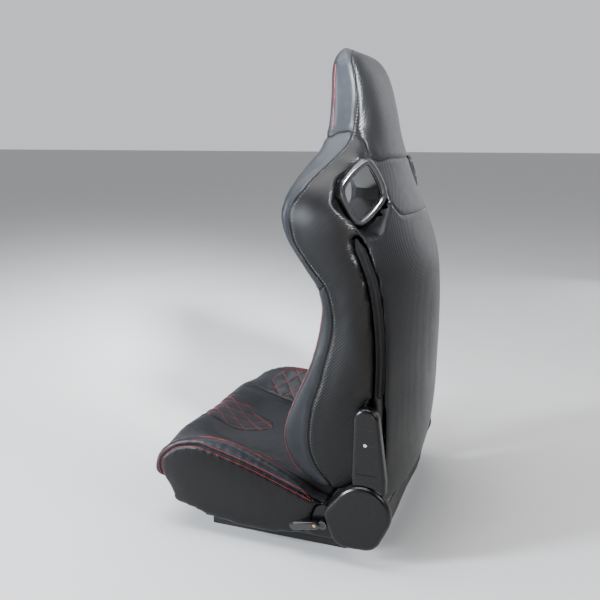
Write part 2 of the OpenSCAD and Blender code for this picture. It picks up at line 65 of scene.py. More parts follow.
# ---------------- outlines
# In mm, as (where, value). The solids' outlines are the CAD's own, and the seams are drawn here.
def curve(t, pairs):
    """Smooth curve through pairs, a cubic with the slopes of each point's neighbours."""
    p = np.array(pairs, float)
    t = np.asarray(t, float)
    x, v, n = p[:, 0], p[:, 1], len(p)
    i = np.clip(np.searchsorted(x, t, side="right") - 1, 0, n - 2)
    a, b = np.maximum(np.arange(n) - 1, 0), np.minimum(np.arange(n) + 1, n - 1)
    m = (v[b] - v[a]) / (x[b] - x[a])
    h = x[i + 1] - x[i]
    s = unit((t - x[i]) / h)
    return ((2 * s**3 - 3 * s**2 + 1) * v[i] + (s**3 - 2 * s**2 + s) * h * m[i]
            + (3 * s**2 - 2 * s**3) * v[i + 1] + (s**3 - s**2) * h * m[i + 1])


# the back, by height: its rear face, its front edge, its half width, and the middle pad's front
# face and half width
REAR = [[95, 46], [150, 60], [220, 69], [300, 73], [440, 75], [527, 70], [569, 61], [610, 47],
        [651, 29], [692, 11], [732, -1], [773, -15], [813, -24], [852, -34], [892, -47], [920, -66],
        [936, -88]]
FRONT = [[128, -86], [153, -134], [181, -155], [213, -165], [249, -162], [294, -146],
         [372, -113], [450, -95], [498, -95], [532, -111], [567, -134], [601, -154], [636, -163],
         [671, -158], [706, -145], [740, -133], [780, -126], [850, -121], [900, -121], [922, -118],
         [936, -112]]
HALF = [[128, 240], [250, 248], [350, 246], [440, 243], [500, 248], [560, 257], [620, 263],
        [650, 263], [680, 252], [700, 236], [720, 210], [740, 178], [760, 150], [780, 130],
        [800, 124], [870, 122], [900, 117], [922, 103], [936, 80]]
PADLINE = [[120, -62], [200, -82], [260, -88], [400, -72], [500, -64], [600, -66], [700, -84],
           [740, -96]]
PADHALF = [[120, 130], [540, 130], [600, 62], [740, 60]]
# how far the rear face curves forward at its sides, and the same for the head with its exponent
CROWN = [[95, 24], [292, 42], [384, 44], [471, 50], [514, 53], [577, 60], [612, 62], [680, 57],
         [740, 40]]
HEADCROWN = [[738, 40], [790, 32], [850, 28], [900, 22], [936, 8]]
HEADSIDES = [[738, 2], [790, 3.4], [936, 4]]
# rear of the back's foam, by height
FOAMBACK = [[120, -2], [330, -2], [440, -4], [527, -12], [590, -21], [690, -56], [740, -72]]
# the cushion, by y: the top of its bolsters and the piping round its side panels
CREST = [[-437, 144], [-430, 156], [-418, 168], [-400, 180], [-370, 192], [-335, 199],
         [-300, 200], [-259, 192], [-218, 177], [-177, 161], [-139, 142], [-115, 124], [-95, 112],
         [-70, 108]]
PIPE = [[-431, 125], [-421, 147], [-407, 160], [-392, 172], [-373, 180], [-345, 184],
        [-315, 181], [-273, 171], [-220, 156], [-167, 137], [-116, 116], [-95, 110], [-70, 106]]
# leather and carbon-look vinyl meet along y = SEAM(z) on both sides of the back
SEAM = [[128, -66], [146, -77], [157, -86], [181, -101], [212, -110], [253, -110], [296, -103],
        [333, -91], [365, -84], [397, -76], [429, -70], [461, -69], [494, -74], [518, -83],
        [554, -110], [592, -134], [617, -140], [643, -142], [668, -135], [687, -122], [703, -113],
        [723, -97], [746, -82], [765, -72], [784, -69], [812, -67], [845, -64], [878, -67],
        [925, -82], [940, -92]]
# height of the seam under the head, by y, and of the seam between the openings, by |x|
NECK = [[-140, 772], [-106, 777], [-97, 782], [-86, 784], [-73, 785], [-57, 779], [-45, 771],
        [-39, 762], [-35, 752], [-28, 740], [-20, 731], [-16, 733], [-11, 736], [40, 736]]
VSEAM = [[0, 633], [103, 633], [116, 637], [124, 646], [135, 659], [143, 663], [160, 666]]


def unit(x):
    """Kept between 0 and 1."""
    return np.clip(x, 0, 1)


def lin(t, pairs):
    """Straight lines through pairs."""
    p = np.array(pairs, float)
    return np.interp(t, p[:, 0], p[:, 1])


# ---------------- meshes
def put(name, verts, faces, rounded=True):
    """A mesh object from points in metres."""
    me = bpy.data.meshes.new(name)
    me.from_pydata([tuple(v) for v in np.asarray(verts, float)], [], [list(map(int, f)) for f in faces])
    me.update()
    if rounded:
        smooth(me)
    o = bpy.data.objects.new(name, me)
    bpy.context.scene.collection.objects.link(o)
    return o


def points(me):
    """A mesh's points as an array."""
    co = np.zeros(len(me.vertices) * 3, np.float64)
    me.vertices.foreach_get("co", co)
    return co.reshape(-1, 3)


def normals(me):
    no = np.zeros(len(me.vertices) * 3, np.float32)
    me.vertex_normals.foreach_get("vector", no)
    return no.reshape(-1, 3).astype(float)


def move(me, co):
    me.vertices.foreach_set("co", np.asarray(co, np.float32).ravel())
    me.update()


def edges(me):
    """Each edge's two points."""
    e = np.zeros(len(me.edges) * 2, np.int64)
    me.edges.foreach_get("vertices", e)
    return e.reshape(-1, 2)


def relax(co, e, steps, k=0.5, keep=None):
    """Laplacian smoothing; keep is each point's share that stays."""
    n = len(co)
    deg = np.bincount(e.ravel(), minlength=n).clip(1)
    for _ in range(steps):
        acc = np.stack([np.bincount(e[:, 0], co[e[:, 1], c], n) + np.bincount(e[:, 1], co[e[:, 0], c], n)
                        for c in range(co.shape[1])], 1) / deg[:, None]
        d = (acc - co) * k
        if keep is not None:
            d *= (1 - keep)[:, None]
        co = co + d
    return co


def loft(rings):
    """Closed solid through rings of points."""
    n = len(rings[0])
    verts = np.concatenate([np.asarray(r, float) for r in rings])
    faces = quads(len(rings), n, ring_columns=True)
    last = (len(rings) - 1) * n
    faces += [list(range(n - 1, -1, -1)), list(range(last, last + n))]
    return verts, faces


def smooth(me):
    me.polygons.foreach_set("use_smooth", [True] * len(me.polygons))


def apply(o, kind, **settings):
    """Change an object's mesh by a modifier."""
    m = o.modifiers.new("m", kind)
    for name, value in settings.items():
        setattr(m, name, value)
    me = bpy.data.meshes.new_from_object(o.evaluated_get(bpy.context.evaluated_depsgraph_get()))
    o.modifiers.remove(m)
    old, o.data = o.data, me
    bpy.data.meshes.remove(old)


def quads(rows, columns, ring_rows=False, ring_columns=False):
    """Faces of a sheet of points given row by row; a ring's last row or column joins its first."""
    faces = []
    for i in range(rows if ring_rows else rows - 1):
        for j in range(columns if ring_columns else columns - 1):
            i2, j2 = (i + 1) % rows, (j + 1) % columns
            faces.append([i * columns + j, i * columns + j2, i2 * columns + j2, i2 * columns + j])
    return faces


def cad(node):
    """Points and faces of a CAD node."""
    me = frame["nodes"][node].data
    return points(me), [list(p.vertices) for p in me.polygons]


def outward(o):
    """Turn all faces of a solid outwards."""
    b = bmesh.new()
    b.from_mesh(o.data)
    bmesh.ops.recalc_face_normals(b, faces=b.faces)
    b.to_mesh(o.data)
    b.free()


def cut(solid, prisms):
    """A solid less some prisms."""
    o = put("cut", *solid)
    outward(o)
    for prism in prisms:
        tool = put("tool", *prism)
        outward(tool)
        apply(o, "BOOLEAN", operation="DIFFERENCE", solver="EXACT", object=tool)
        bpy.data.objects.remove(tool)
    verts, faces = points(o.data), [list(p.vertices) for p in o.data.polygons]
    bpy.data.objects.remove(o)
    return verts, faces


def voxel(name, solids, size):
    """One skin round several solids."""
    verts, faces, k = [], [], 0
    for v, f in solids:
        verts.append(v)
        faces += [[i + k for i in p] for p in f]
        k += len(v)
    o = put(name, np.concatenate(verts), faces)
    apply(o, "REMESH", mode="VOXEL", voxel_size=size, adaptivity=0)
    co, e = points(o.data), edges(o.data)
    label = np.arange(len(co))           # keep the outer skin, the largest island
    while True:
        low = label.copy()
        np.minimum.at(low, e[:, 0], label[e[:, 1]])
        np.minimum.at(low, e[:, 1], label[e[:, 0]])
        low = low[low]
        if (low == label).all():
            break
        label = low
    best = np.bincount(label).argmax()
    used = np.flatnonzero(label == best)
    index = -np.ones(len(co), int)
    index[used] = np.arange(len(used))
    faces = [[index[v] for v in p.vertices] for p in o.data.polygons if label[p.vertices[0]] == best]
    bpy.data.objects.remove(o)
    return put(name, co[used], faces)


FRAMES = 20    # of the cloth simulation


def inflate(o, pin, pressure, cap):
    """Cloth with pressure; pin is each point's hold, cap how far it may go, in metres."""
    before = points(o.data)
    group = o.vertex_groups.new(name="pin")
    for w in np.unique(np.round(pin * 8) / 8):
        if w > 0:
            group.add(np.flatnonzero(np.round(pin * 8) / 8 == w).tolist(), float(w), "REPLACE")
    mod = o.modifiers.new("cloth", "CLOTH")
    s = mod.settings
    s.quality, s.mass, s.air_damping = 3, 0.3, 1.5
    s.tension_stiffness = s.compression_stiffness = 12
    s.shear_stiffness, s.bending_stiffness = 6, 0.6
    s.use_pressure, s.uniform_pressure_force = True, pressure
    s.effector_weights.gravity = 0
    s.vertex_group_mass, s.pin_stiffness = "pin", 1.0
    mod.collision_settings.use_collision = False
    mod.collision_settings.use_self_collision = False
    mod.point_cache.frame_start, mod.point_cache.frame_end = 1, FRAMES
    for f in range(1, FRAMES + 1):
        bpy.context.scene.frame_set(f)
    e = o.evaluated_get(bpy.context.evaluated_depsgraph_get())
    after = points(e.data)
    o.modifiers.remove(mod)
    bpy.context.scene.frame_set(1)
    d = after - before
    far = np.linalg.norm(d, axis=1)
    d *= (cap * np.tanh(far / cap) / far.clip(1e-9))[:, None]
    d = relax(d, edges(o.data), 2)
    o.vertex_groups.clear()
    move(o.data, before + d * (1 - pin)[:, None])


def finer(o):
    """One level of subdivision."""
    apply(o, "SUBSURF", levels=1, render_levels=1)
    smooth(o.data)


def note(o, name, values):
    """A number on each point, for a material to read."""
    a = o.data.attributes.new(name, "FLOAT", "POINT")
    a.data.foreach_set("value", np.asarray(values, np.float32))


def mark(o, kind, wrap, folds):
    """What the upholstery reads: leather or carbon, the length round the body, and the seams."""
    note(o, "kind", kind)
    note(o, "wrap", wrap)
    for name, values in zip(FOLDS, folds):
        note(o, name, values)


def dense(line, step):
    """Points along a line through the given ones, step apart (smooth through them)."""
    p = np.asarray(line, float)
    if len(p) > 2:
        t = np.r_[0, np.cumsum(np.linalg.norm(np.diff(p, axis=0), axis=1))]
        n = max(8, int(t[-1] / step * 3))
        u = np.linspace(0, t[-1], n)
        p = np.stack([curve(u, np.c_[t, p[:, c]]) for c in range(3)], 1)
    t = np.r_[0, np.cumsum(np.linalg.norm(np.diff(p, axis=0), axis=1))]
    n = max(2, int(round(t[-1] / step)) + 1)
    u = np.linspace(0, t[-1], n)
    return np.stack([np.interp(u, t, p[:, c]) for c in range(3)], 1)


def near(lines, co, reach):
    """Distance of each point of co to the lines, up to reach."""
    pts = np.concatenate([dense(l, 0.0012) for l in lines])
    tree = KDTree(len(pts))
    for i, p in enumerate(pts):
        tree.insert(p, i)
    tree.balance()
    lo, hi = pts.min(0) - reach, pts.max(0) + reach
    d = np.full(len(co), reach)
    for i in np.flatnonzero(((co > lo) & (co < hi)).all(1)):
        d[i] = min(reach, tree.find(co[i])[2])
    return d


def tree_of(o):
    """The object's surface, ready to find its nearest point."""
    faces = [tuple(p.vertices) for p in o.data.polygons]
    return BVHTree.FromPolygons([tuple(v) for v in points(o.data)], faces)


def dress(o, material, body):
    """Material, body and slot of a small piece."""
    o.data.materials.append(material)
    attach(o, body)


# a stitch's section, and its radius and rise at three shares of its length
STITCH = [(math.cos(a), math.sin(a)) for a in np.linspace(0, 2 * math.pi, 6, endpoint=False)]
SWELL = ((0.16, 0.85, 0.2), (0.5, 1.0, 0.55), (0.84, 0.85, 0.2))


def stitches(name, lines, tree, material, body, pitch=0.0042, length=0.0031, radius=0.00042,
             lift=0.0001):
    """Thread showing along lines laid on a surface: short rounded dashes, in metres."""
    verts, faces = [], []
    for line in lines:
        p = dense(line, 0.002)
        q, nn = [], []
        for x in p:
            h = tree.find_nearest(Vector(x))
            q.append(h[0])
            nn.append(h[1])
        q, nn = np.array(q), np.array(nn)
        t = np.r_[0, np.cumsum(np.linalg.norm(np.diff(q, axis=0), axis=1))]
        for s in np.arange(pitch * 0.4, t[-1] - pitch * 0.3, pitch):
            a = np.array([np.interp(s, t, q[:, c]) for c in range(3)])
            b = np.array([np.interp(s + length, t, q[:, c]) for c in range(3)])
            i = min(np.searchsorted(t, s), len(nn) - 1)
            n = nn[i]
            d = b - a
            if np.linalg.norm(d) < 1e-5:
                continue
            d /= np.linalg.norm(d)
            side = np.cross(n, d)
            side /= np.linalg.norm(side) + 1e-12
            up = np.cross(d, side)
            k = len(verts)
            verts.append(a + n * (lift - radius))
            for f, r, h in SWELL:
                c = a + (b - a) * f + n * (lift + radius * h)
                verts += [c + (side * cx * r - up * cy * r) * radius for cx, cy in STITCH]
            verts.append(b + n * (lift - radius))
            for j in range(6):
                j2 = (j + 1) % 6
                faces.append([k, k + 1 + j2, k + 1 + j])
                for ring in (0, 6):
                    faces.append([k + 1 + ring + j, k + 1 + ring + j2, k + 7 + ring + j2, k + 7 + ring + j])
                faces.append([k + 19, k + 13 + j, k + 13 + j2])
    dress(put(name, verts, faces), material, body)


# ---------------- materials
class Nodes:
    """Short ways to write a node graph."""

    def __init__(self, name):
        self.m = bpy.data.materials.new(name)
        self.m.use_nodes = True
        self.t = self.m.node_tree
        self.bsdf = self.t.nodes["Principled BSDF"]
        self.where = self.t.nodes.new("ShaderNodeTexCoord").outputs["Object"]

    def link(self, a, b):
        if isinstance(a, (int, float)):
            b.default_value = a
        elif isinstance(a, (tuple, list)):
            b.default_value = (*a, 1) if len(a) == 3 and b.type == "RGBA" else a
        else:
            self.t.links.new(a, b)

    def node(self, kind, **inputs):
        """A new node with these inputs set or linked."""
        n = self.t.nodes.new("ShaderNode" + kind)
        for name, value in inputs.items():
            self.link(value, n.inputs[name])
        return n

    def math(self, op, a, b=0.0, c=0.0):
        n = self.node("Math")
        n.operation = op
        for s, v in zip(n.inputs, (a, b, c)):
            self.link(v, s)
        return n.outputs[0]

    def plus(self, a, b):
        return self.math("ADD", a, b)

    def times(self, a, b):
        return self.math("MULTIPLY", a, b)

    def attr(self, name):
        n = self.node("Attribute")
        n.attribute_name = name
        return n.outputs["Fac"]

    def noise(self, scale, detail=2, rough=0.5, stretch=None):
        where = self.where
        if stretch:
            where = self.node("Mapping", Vector=where, Scale=stretch).outputs[0]
        n = self.node("TexNoise", Vector=where, Scale=scale, Detail=detail, Roughness=rough)
        return n.outputs["Fac"]

    def cells(self, scale, feature="F1"):
        n = self.node("TexVoronoi")
        n.feature = feature
        self.link(self.where, n.inputs["Vector"])
        self.link(scale, n.inputs["Scale"])
        return n.outputs["Distance"]

    def ramp(self, x, a, b, lo, hi):
        """x from a to b becomes lo to hi, smoothly."""
        n = self.node("MapRange")
        n.interpolation_type = "SMOOTHSTEP"
        for s, v in zip(n.inputs[:5], (x, a, b, lo, hi)):
            self.link(v, s)
        return n.outputs[0]

    def mix(self, f, a, b):
        n = self.node("Mix")
        n.data_type = "RGBA"
        for i, v in ((0, f), (6, a), (7, b)):
            self.link(v, n.inputs[i])
        return n.outputs[2]

    def blend(self, f, a, b):
        """a where f is 0, b where f is 1."""
        return self.plus(self.times(a, self.math("SUBTRACT", 1.0, f)), self.times(b, f))

    def axis(self, i):
        return self.node("SeparateXYZ", Vector=self.where).outputs[i]

    def bump(self, height, distance):
        return self.node("Bump", Height=height, Strength=1.0, Distance=distance).outputs[0]

    def done(self, colour, rough, normal=None, metal=0.0, spec=0.5, coat=0.0, sheen=0.0):
        values = {"Base Color": colour, "Roughness": rough, "Metallic": metal, "Specular IOR Level": spec,
                  "Coat Weight": coat, "Coat Roughness": 0.2, "Sheen Weight": sheen}
        for name, value in values.items():
            self.link(value, self.bsdf.inputs[name])
        if normal is not None:
            self.link(normal, self.bsdf.inputs["Normal"])
        return self.m


RIB, THREAD_PITCH, WEAVE = 0.0043, 0.0017, 0.0012    # of the carbon look and of the plain cloth, in metres
FOLDS = ("fold1", "fold2", "fold3", "fold4")         # attributes: distance to each seam, in mm


def upholstery(name):
    """Smooth leather and ribbed carbon-look vinyl on one skin: carbon where attribute kind is above 0."""
    g = Nodes(name)
    kind = g.ramp(g.attr("kind"), -0.35, 0.35, 0.0, 1.0)
    wide = g.noise(9, 3)
    fine = g.noise(60, 4, 0.6)
    # leather: soft pebble grain, pores and light creases
    pebble = g.cells(760, "F1")
    crack = g.ramp(g.cells(520, "DISTANCE_TO_EDGE"), 0.0, 0.09, 0.0, 1.0)
    crease = g.ramp(g.noise(34, 5, 0.62, stretch=(1.0, 1.0, 0.4)), 0.47, 0.53, 0.0, 1.0)
    leather_h = g.plus(g.times(pebble, -0.5), g.times(crack, 0.5))
    leather_h = g.plus(leather_h, g.times(crease, 0.35))
    # carbon look: slanted ribs crossed by short threads
    across = g.times(g.math("SUBTRACT", g.attr("wrap"), g.axis(2)), 0.7071)
    along = g.times(g.plus(g.attr("wrap"), g.axis(2)), 0.7071)
    wave = g.math("COSINE", g.times(across, 2 * math.pi / RIB))
    thread = g.math("COSINE", g.plus(g.times(along, 2 * math.pi / THREAD_PITCH), g.times(wave, 1.2)))
    rib_h = g.math("POWER", g.math("MULTIPLY_ADD", wave, 0.5, 0.5), 0.7)
    carbon_h = g.plus(rib_h, g.times(thread, 0.10))
    # seams: a sharp fold, with painted shade darkening the colour inside it
    fold = 100.0
    for seam in FOLDS:
        fold = g.math("MINIMUM", fold, g.math("ABSOLUTE", g.attr(seam)))
    dip = g.ramp(fold, 0.0, 2.2, 0.0, 1.0)
    painted_seam_shade = g.ramp(fold, 0.8, 2.6, 0.0, 1.0)
    leather_c = g.mix(g.ramp(wide, 0.3, 0.7, 0, 1), (0.0085, 0.0100, 0.0127), (0.0140, 0.0162, 0.0197))
    leather_c = g.mix(g.ramp(fine, 0.45, 0.75, 0, 0.35), leather_c, (0.022, 0.024, 0.028))
    carbon_c = g.mix(g.times(rib_h, 0.9), (0.0006, 0.0006, 0.0007), (0.0050, 0.0052, 0.0060))
    colour = g.mix(kind, leather_c, carbon_c)
    # painted shade: the colour goes near black inside each seam's fold
    colour = g.mix(painted_seam_shade, (0.002, 0.002, 0.002), colour)
    rough = g.blend(kind, g.math("MULTIPLY_ADD", wide, 0.14, 0.34), g.math("MULTIPLY_ADD", wide, 0.12, 0.27))
    rough = g.plus(rough, g.times(g.math("SUBTRACT", fine, 0.5), 0.12))
    height = g.blend(kind, g.times(leather_h, 0.10), g.times(carbon_h, 0.34))
    height = g.plus(height, g.times(dip, 1.1))
    return g.done(colour, rough, g.bump(height, 0.001), spec=0.24)


def plastic(name, colour, rough, grain=1400, depth=0.00008, wear=0.5, coat=0.0, spec=0.5):
    """Moulded plastic: fine grain, handling marks and a few dry scratches."""
    g = Nodes(name)
    speck = g.noise(grain, 2, 0.6)
    smear = g.noise(14, 5, 0.65)
    scratch = g.ramp(g.noise(55, 3, 0.7, stretch=(1.0, 0.25, 3.0)), 0.66, 0.72, 0.0, 1.0)
    c = g.mix(g.times(scratch, 0.12 * wear), colour, (0.10, 0.10, 0.10))
    c = g.mix(g.ramp(smear, 0.5, 0.8, 0.0, 0.4 * wear), c, tuple(x * 1.4 + 0.002 for x in colour))
    r = g.plus(g.math("MULTIPLY_ADD", smear, 0.16, rough - 0.08), g.times(scratch, 0.10 * wear))
    h = g.plus(speck, g.times(scratch, -0.5))
    return g.done(c, r, g.bump(h, depth), coat=coat, spec=spec)


def metal(name, colour, rough, brushed=(1, 1, 30)):
    """Bare metal: drawn lines and duller patches."""
    g = Nodes(name)
    lines = g.noise(160, 3, 0.6, stretch=brushed)
    patch = g.noise(22, 4, 0.6)
    c = g.mix(g.ramp(patch, 0.45, 0.75, 0, 0.4), colour, tuple(x * 0.55 for x in colour))
    r = g.plus(g.math("MULTIPLY_ADD", lines, 0.18, rough - 0.09), g.times(patch, 0.08))
    return g.done(c, r, g.bump(lines, 0.00006), metal=1.0)


def coated(name, colour, rough):
    """Powder coat: orange peel, edge dust, a few bare scratches."""
    g = Nodes(name)
    peel = g.noise(900, 2, 0.5)
    patch = g.noise(18, 4, 0.65)
    bare = g.ramp(g.noise(70, 4, 0.75, stretch=(2.0, 0.5, 2.0)), 0.70, 0.74, 0.0, 1.0)
    c = g.mix(g.ramp(patch, 0.5, 0.8, 0, 0.5), colour, (0.045, 0.042, 0.038))
    c = g.mix(g.times(bare, 0.5), c, (0.22, 0.21, 0.20))
    return g.done(c, g.math("MULTIPLY_ADD", patch, 0.2, rough - 0.1), g.bump(peel, 0.00012))


def cloth(name, colour, sheen=0.15):
    """Plain weave."""
    g = Nodes(name)
    n = g.noise(25, 3)
    warp, weft = [g.math("SINE", g.times(g.axis(i), 6.283 / WEAVE)) for i in (0, 2)]
    c = g.mix(g.ramp(n, 0.3, 0.7, 0, 1), colour, tuple(k * 1.8 for k in colour))
    return g.done(c, 0.8, g.bump(g.times(warp, weft), 0.00015), spec=0.2, sheen=sheen)


def thread(name, colour):
    """Sewing thread, a little uneven."""
    g = Nodes(name)
    n = g.noise(120, 2)
    c = g.mix(n, tuple(k * 0.7 for k in colour), tuple(min(1, k * 1.25) for k in colour))
    return g.done(c, 0.55, g.bump(g.noise(3500, 2), 0.00005), sheen=0.2)


MATERIAL = {
    "back": upholstery("back_upholstery"),
    "seat": upholstery("seat_upholstery"),
    "cover": plastic("cover_plastic", (0.0030, 0.0030, 0.0034), 0.27, 1600, 0.00003, spec=0.3),
    "bezel": plastic("bezel_plastic", (0.007, 0.007, 0.008), 0.20, 2200, 0.00002, coat=0.7),
    "tube": plastic("tube_plastic", (0.003, 0.003, 0.0035), 0.26, 2000, 0.00004),
    "lever": plastic("lever_plastic", (0.006, 0.006, 0.007), 0.16, 1800, 0.00004, wear=0.8, coat=0.5),
    "frame": coated("frame_coat", (0.006, 0.006, 0.0063), 0.42),
    "zinc": metal("zinc_steel", (0.62, 0.61, 0.58), 0.33),
    "wire": metal("spring_wire", (0.34, 0.34, 0.35), 0.4, (30, 1, 1)),
    "brass": metal("brass_screw", (0.60, 0.42, 0.17), 0.32),
    "nylon": plastic("glide_nylon", (0.55, 0.53, 0.45), 0.5, 900, 0.00006),
    "flap": cloth("flap_cloth", (0.012, 0.012, 0.013)),
    "tape": cloth("zip_tape", (0.0012, 0.0012, 0.0014), 0.0),
    "teeth": plastic("zip_teeth", (0.008, 0.008, 0.009), 0.35),
    "red": thread("red_thread", (0.52, 0.012, 0.028)),
    "black": thread("black_thread", (0.06, 0.063, 0.068)),
}
SLOT_MATERIAL = {"frame_steel": "frame", "zinc_steel": "zinc", "spring_wire": "wire", "zip_dark": "tape",
                 "glide_plastic": "nylon", "cover_plastic": "cover", "bezel_plastic": "bezel",
                 "brass_screw": "brass", "smooth_leather": "seat", "carbon_vinyl": "back",
                 "soft_flap": "flap"}
NODE_MATERIAL = {"harness_tube_left": "tube", "harness_tube_right": "tube", "recline_lever": "lever",
                 "release_shaft": "frame", "pawl": "frame"}    # unlike the rest of their slot
slots = {s["node"]: s["material_slot"] for s in frame["record"]["subparts"]}
for node, o in frame["nodes"].items():
    o.data.materials.clear()
    o.data.materials.append(MATERIAL[NODE_MATERIAL.get(node, SLOT_MATERIAL[slots[node]])])


# ---------------- backrest
def strip_x(z):
    """Half width of the rear face, which ends at the zips."""
    return curve(z, HALF) - 20


def strip_y(z):
    """Where the rear face ends, at the zips."""
    return curve(z, REAR) - curve(z, CROWN)


def rear_y(x, z, half):
    """The rear face at x, crowned over a half width."""
    return curve(z, REAR) - curve(z, CROWN) * (x / half) ** 2


def rear_shell():
    """The rear skin, thick enough to remesh."""
    rings = []
    for z in np.linspace(96, 742, 60):
        w, y, k = strip_x(z) - 0.4, curve(z, REAR), curve(z, CROWN)
        u = np.linspace(-1, 1, 41)
        inner = [[w * a, y - 7.5 - k * a * a, z] for a in u]
        outer = [[w * a, y - k * a * a, z] for a in u[::-1]]
        rings.append(metres(inner + outer))
    return loft(rings)


def corner(s):
    """Where the side wraps round to the rear above the zip."""
    rings = []
    for z in np.linspace(612, 744, 16):
        w, y = curve(z, HALF), strip_y(z)
        pts = [[w - 34, y - 6, z], [w - 20, y, z], [w - 12, y - 5.0, z], [w - 7, y - 11, z],
               [w - 4.5, y - 19, z], [w - 3, y - 34, z], [w - 24, y - 30, z]]
        if s < 0:
            pts = [[-a, b, c] for a, b, c in pts[::-1]]
        rings.append(metres(pts))
    return loft(rings)


HOLE = (173, -37, 678)    # centre of the sitter's left harness opening, in mm
HOLE_TURN, HOLE_TILT = math.radians(51.5 - 90), math.radians(8)
HOLE_U, HOLE_V = 40, 48    # half its width and half its height


def from_opening(s, u, v, depth):
    """Place of a point given across, up and out of a harness opening."""
    side = u * math.cos(HOLE_TILT) - v * math.sin(HOLE_TILT)
    up = u * math.sin(HOLE_TILT) + v * math.cos(HOLE_TILT)
    x = HOLE[0] + side * math.cos(HOLE_TURN) - depth * math.sin(HOLE_TURN)
    y = HOLE[1] + side * math.sin(HOLE_TURN) + depth * math.cos(HOLE_TURN)
    return [s * x, y, HOLE[2] + up]


def corner_distance(u, v):
    """How far outside the slanting sides of an opening's edge, in mm."""
    return (np.abs(u) / 48.3 + np.abs(v) / 55.7 - 1) * 36.5


def harness_cut(co):
    """Place in a harness opening: distance outside its edge, depth, across and up, in mm."""
    p = mm(co)
    ox, oy, oz = np.abs(p[:, 0]) - HOLE[0], p[:, 1] - HOLE[1], p[:, 2] - HOLE[2]
    side = ox * math.cos(HOLE_TURN) + oy * math.sin(HOLE_TURN)
    depth = -ox * math.sin(HOLE_TURN) + oy * math.cos(HOLE_TURN)
    u = side * math.cos(HOLE_TILT) + oz * math.sin(HOLE_TILT)
    v = -side * math.sin(HOLE_TILT) + oz * math.cos(HOLE_TILT)
    d = np.maximum(corner_distance(u, v), np.maximum(np.abs(u) - HOLE_U, np.abs(v) - HOLE_V))
    return d, depth, u, v


def octagon(w, h, corner):
    """A diamond with cut corners, w and h being half its width and half its height."""
    k, m = corner / w, corner / h
    return [(w, h * k), (w * m, h), (-w * m, h), (-w, h * k), (-w, -h * k), (-w * m, -h), (w * m, -h),
            (w, -h * k)]


def opening(s, shape, low, high):
    """Prism along a harness opening."""
    return loft([metres([from_opening(s, u, v, depth) for u, v in shape]) for depth in (low, high)])


# room for the tubes through the skin, and for the bezels' flanges at the rear
tubes = [opening(s, octagon(44, 52, 8), -30, 60) for s in (1, -1)]
flanges = [opening(s, octagon(54, 61, 12), -1.0, 60) for s in (1, -1)]
PADS = ["back_centre_pad", "back_wing_left", "back_wing_right", "headrest_pad"]
corners = [cut(corner(s), [tubes[k], flanges[k]]) for k, s in enumerate((1, -1))]
back = voxel("back_cover", [cad(n) for n in PADS] + [cut(rear_shell(), tubes + flanges)] + corners, 0.006)
co, e = points(back.data), edges(back.data)
p = mm(co)
ring_d, ring_depth, _, _ = harness_cut(co)
in_hole = (ring_d < 16) & (ring_depth > -110) & (ring_depth < 25) & (p[:, 2] > 600)
keep = np.where(in_hole, 0.55, 0.0)
co = relax(co, e, 6, 0.5, keep)


def clear_opening(co):
    """Keep the skin's hole outside the tube, and dish it round the bezel's flange."""
    p = mm(co)
    s = np.where(p[:, 0] < 0, -1, 1)
    d, depth, u, v = harness_cut(co)
    at = (p[:, 2] > 580) & (p[:, 2] < 775) & (depth > -118) & (depth < 70) & (d > -14)
    out = np.where(at, np.maximum(4.6 - d, 0), 0)
    slant = corner_distance(u, v)
    u2 = u + np.where(np.abs(v) - HOLE_V > slant, 0, np.sign(u) * 0.756) * out
    v2 = v + np.where(np.abs(u) - HOLE_U > slant, 0, np.sign(v) * 0.655) * out
    away = np.maximum(d + out - 13.2, 0)
    outer = u / (np.abs(u) + np.abs(v) + 1)
    steep = 0.85 + 2.4 * unit(1 - 1.5 * outer) + 1.6 * unit(-v / 60 - 0.5)
    depth2 = np.minimum(depth, -1.9 + steep * away + 0.012 * away * away)
    moved = metres(np.stack(from_opening(s, u2, v2, depth2), 1))
    return np.where(at[:, None], moved, co)


def under_rear(margin):
    """Points of the skin inside the back: behind the foam and margin mm before the rear face."""
    return ((X < strip_x(Z) - 3) & (Z < 745) & (Y > curve(Z, FOAMBACK) - 4)
            & (Y < rear_y(X, Z, strip_x(Z)) - margin))


co = clear_opening(co)
move(back.data, co)
p = mm(co)
X, Y, Z = np.abs(p[:, 0]), p[:, 1], p[:, 2]
# the cloth is held along its seams, over the rear panels and round the openings
from_seam = np.minimum(np.abs(Y - curve(Z, SEAM)), np.abs(Z - lin(Y, NECK)))
rear_skin = (Y > strip_y(Z) - 8) & (X < strip_x(Z) + 4) & (Z < 738)
pin = np.maximum.reduce([
    np.exp(-(from_seam / 14) ** 2),
    0.8 * rear_skin,
    under_rear(3.5) | (Z < 316) & (Y > -12) | (ring_d < 20) & (ring_depth > -120),
    unit((215 - Z) / 50) * np.where(Y > -60, 1, 0.6)])
pin = unit(relax(pin[:, None], e, 3)[:, 0])
if SIMULATE:
    inflate(back, pin, 4, 0.007)
finer(back)
co, no = points(back.data), normals(back.data)
e = edges(back.data)
p = mm(co)
X, Y, Z = np.abs(p[:, 0]), p[:, 1], p[:, 2]
ring_d, ring_depth, _, _ = harness_cut(co)


def slope(t, f, step=1.0):
    return (f(t + step) - f(t - step)) / (2 * step)


def off_line(v, t, line, step):
    """Distance of v from line(t), measured square to the line, in mm."""
    return (v - line(t)) / np.sqrt(1 + slope(t, line, step) ** 2)


AWAY = 90    # stands for the distance where a seam isn't
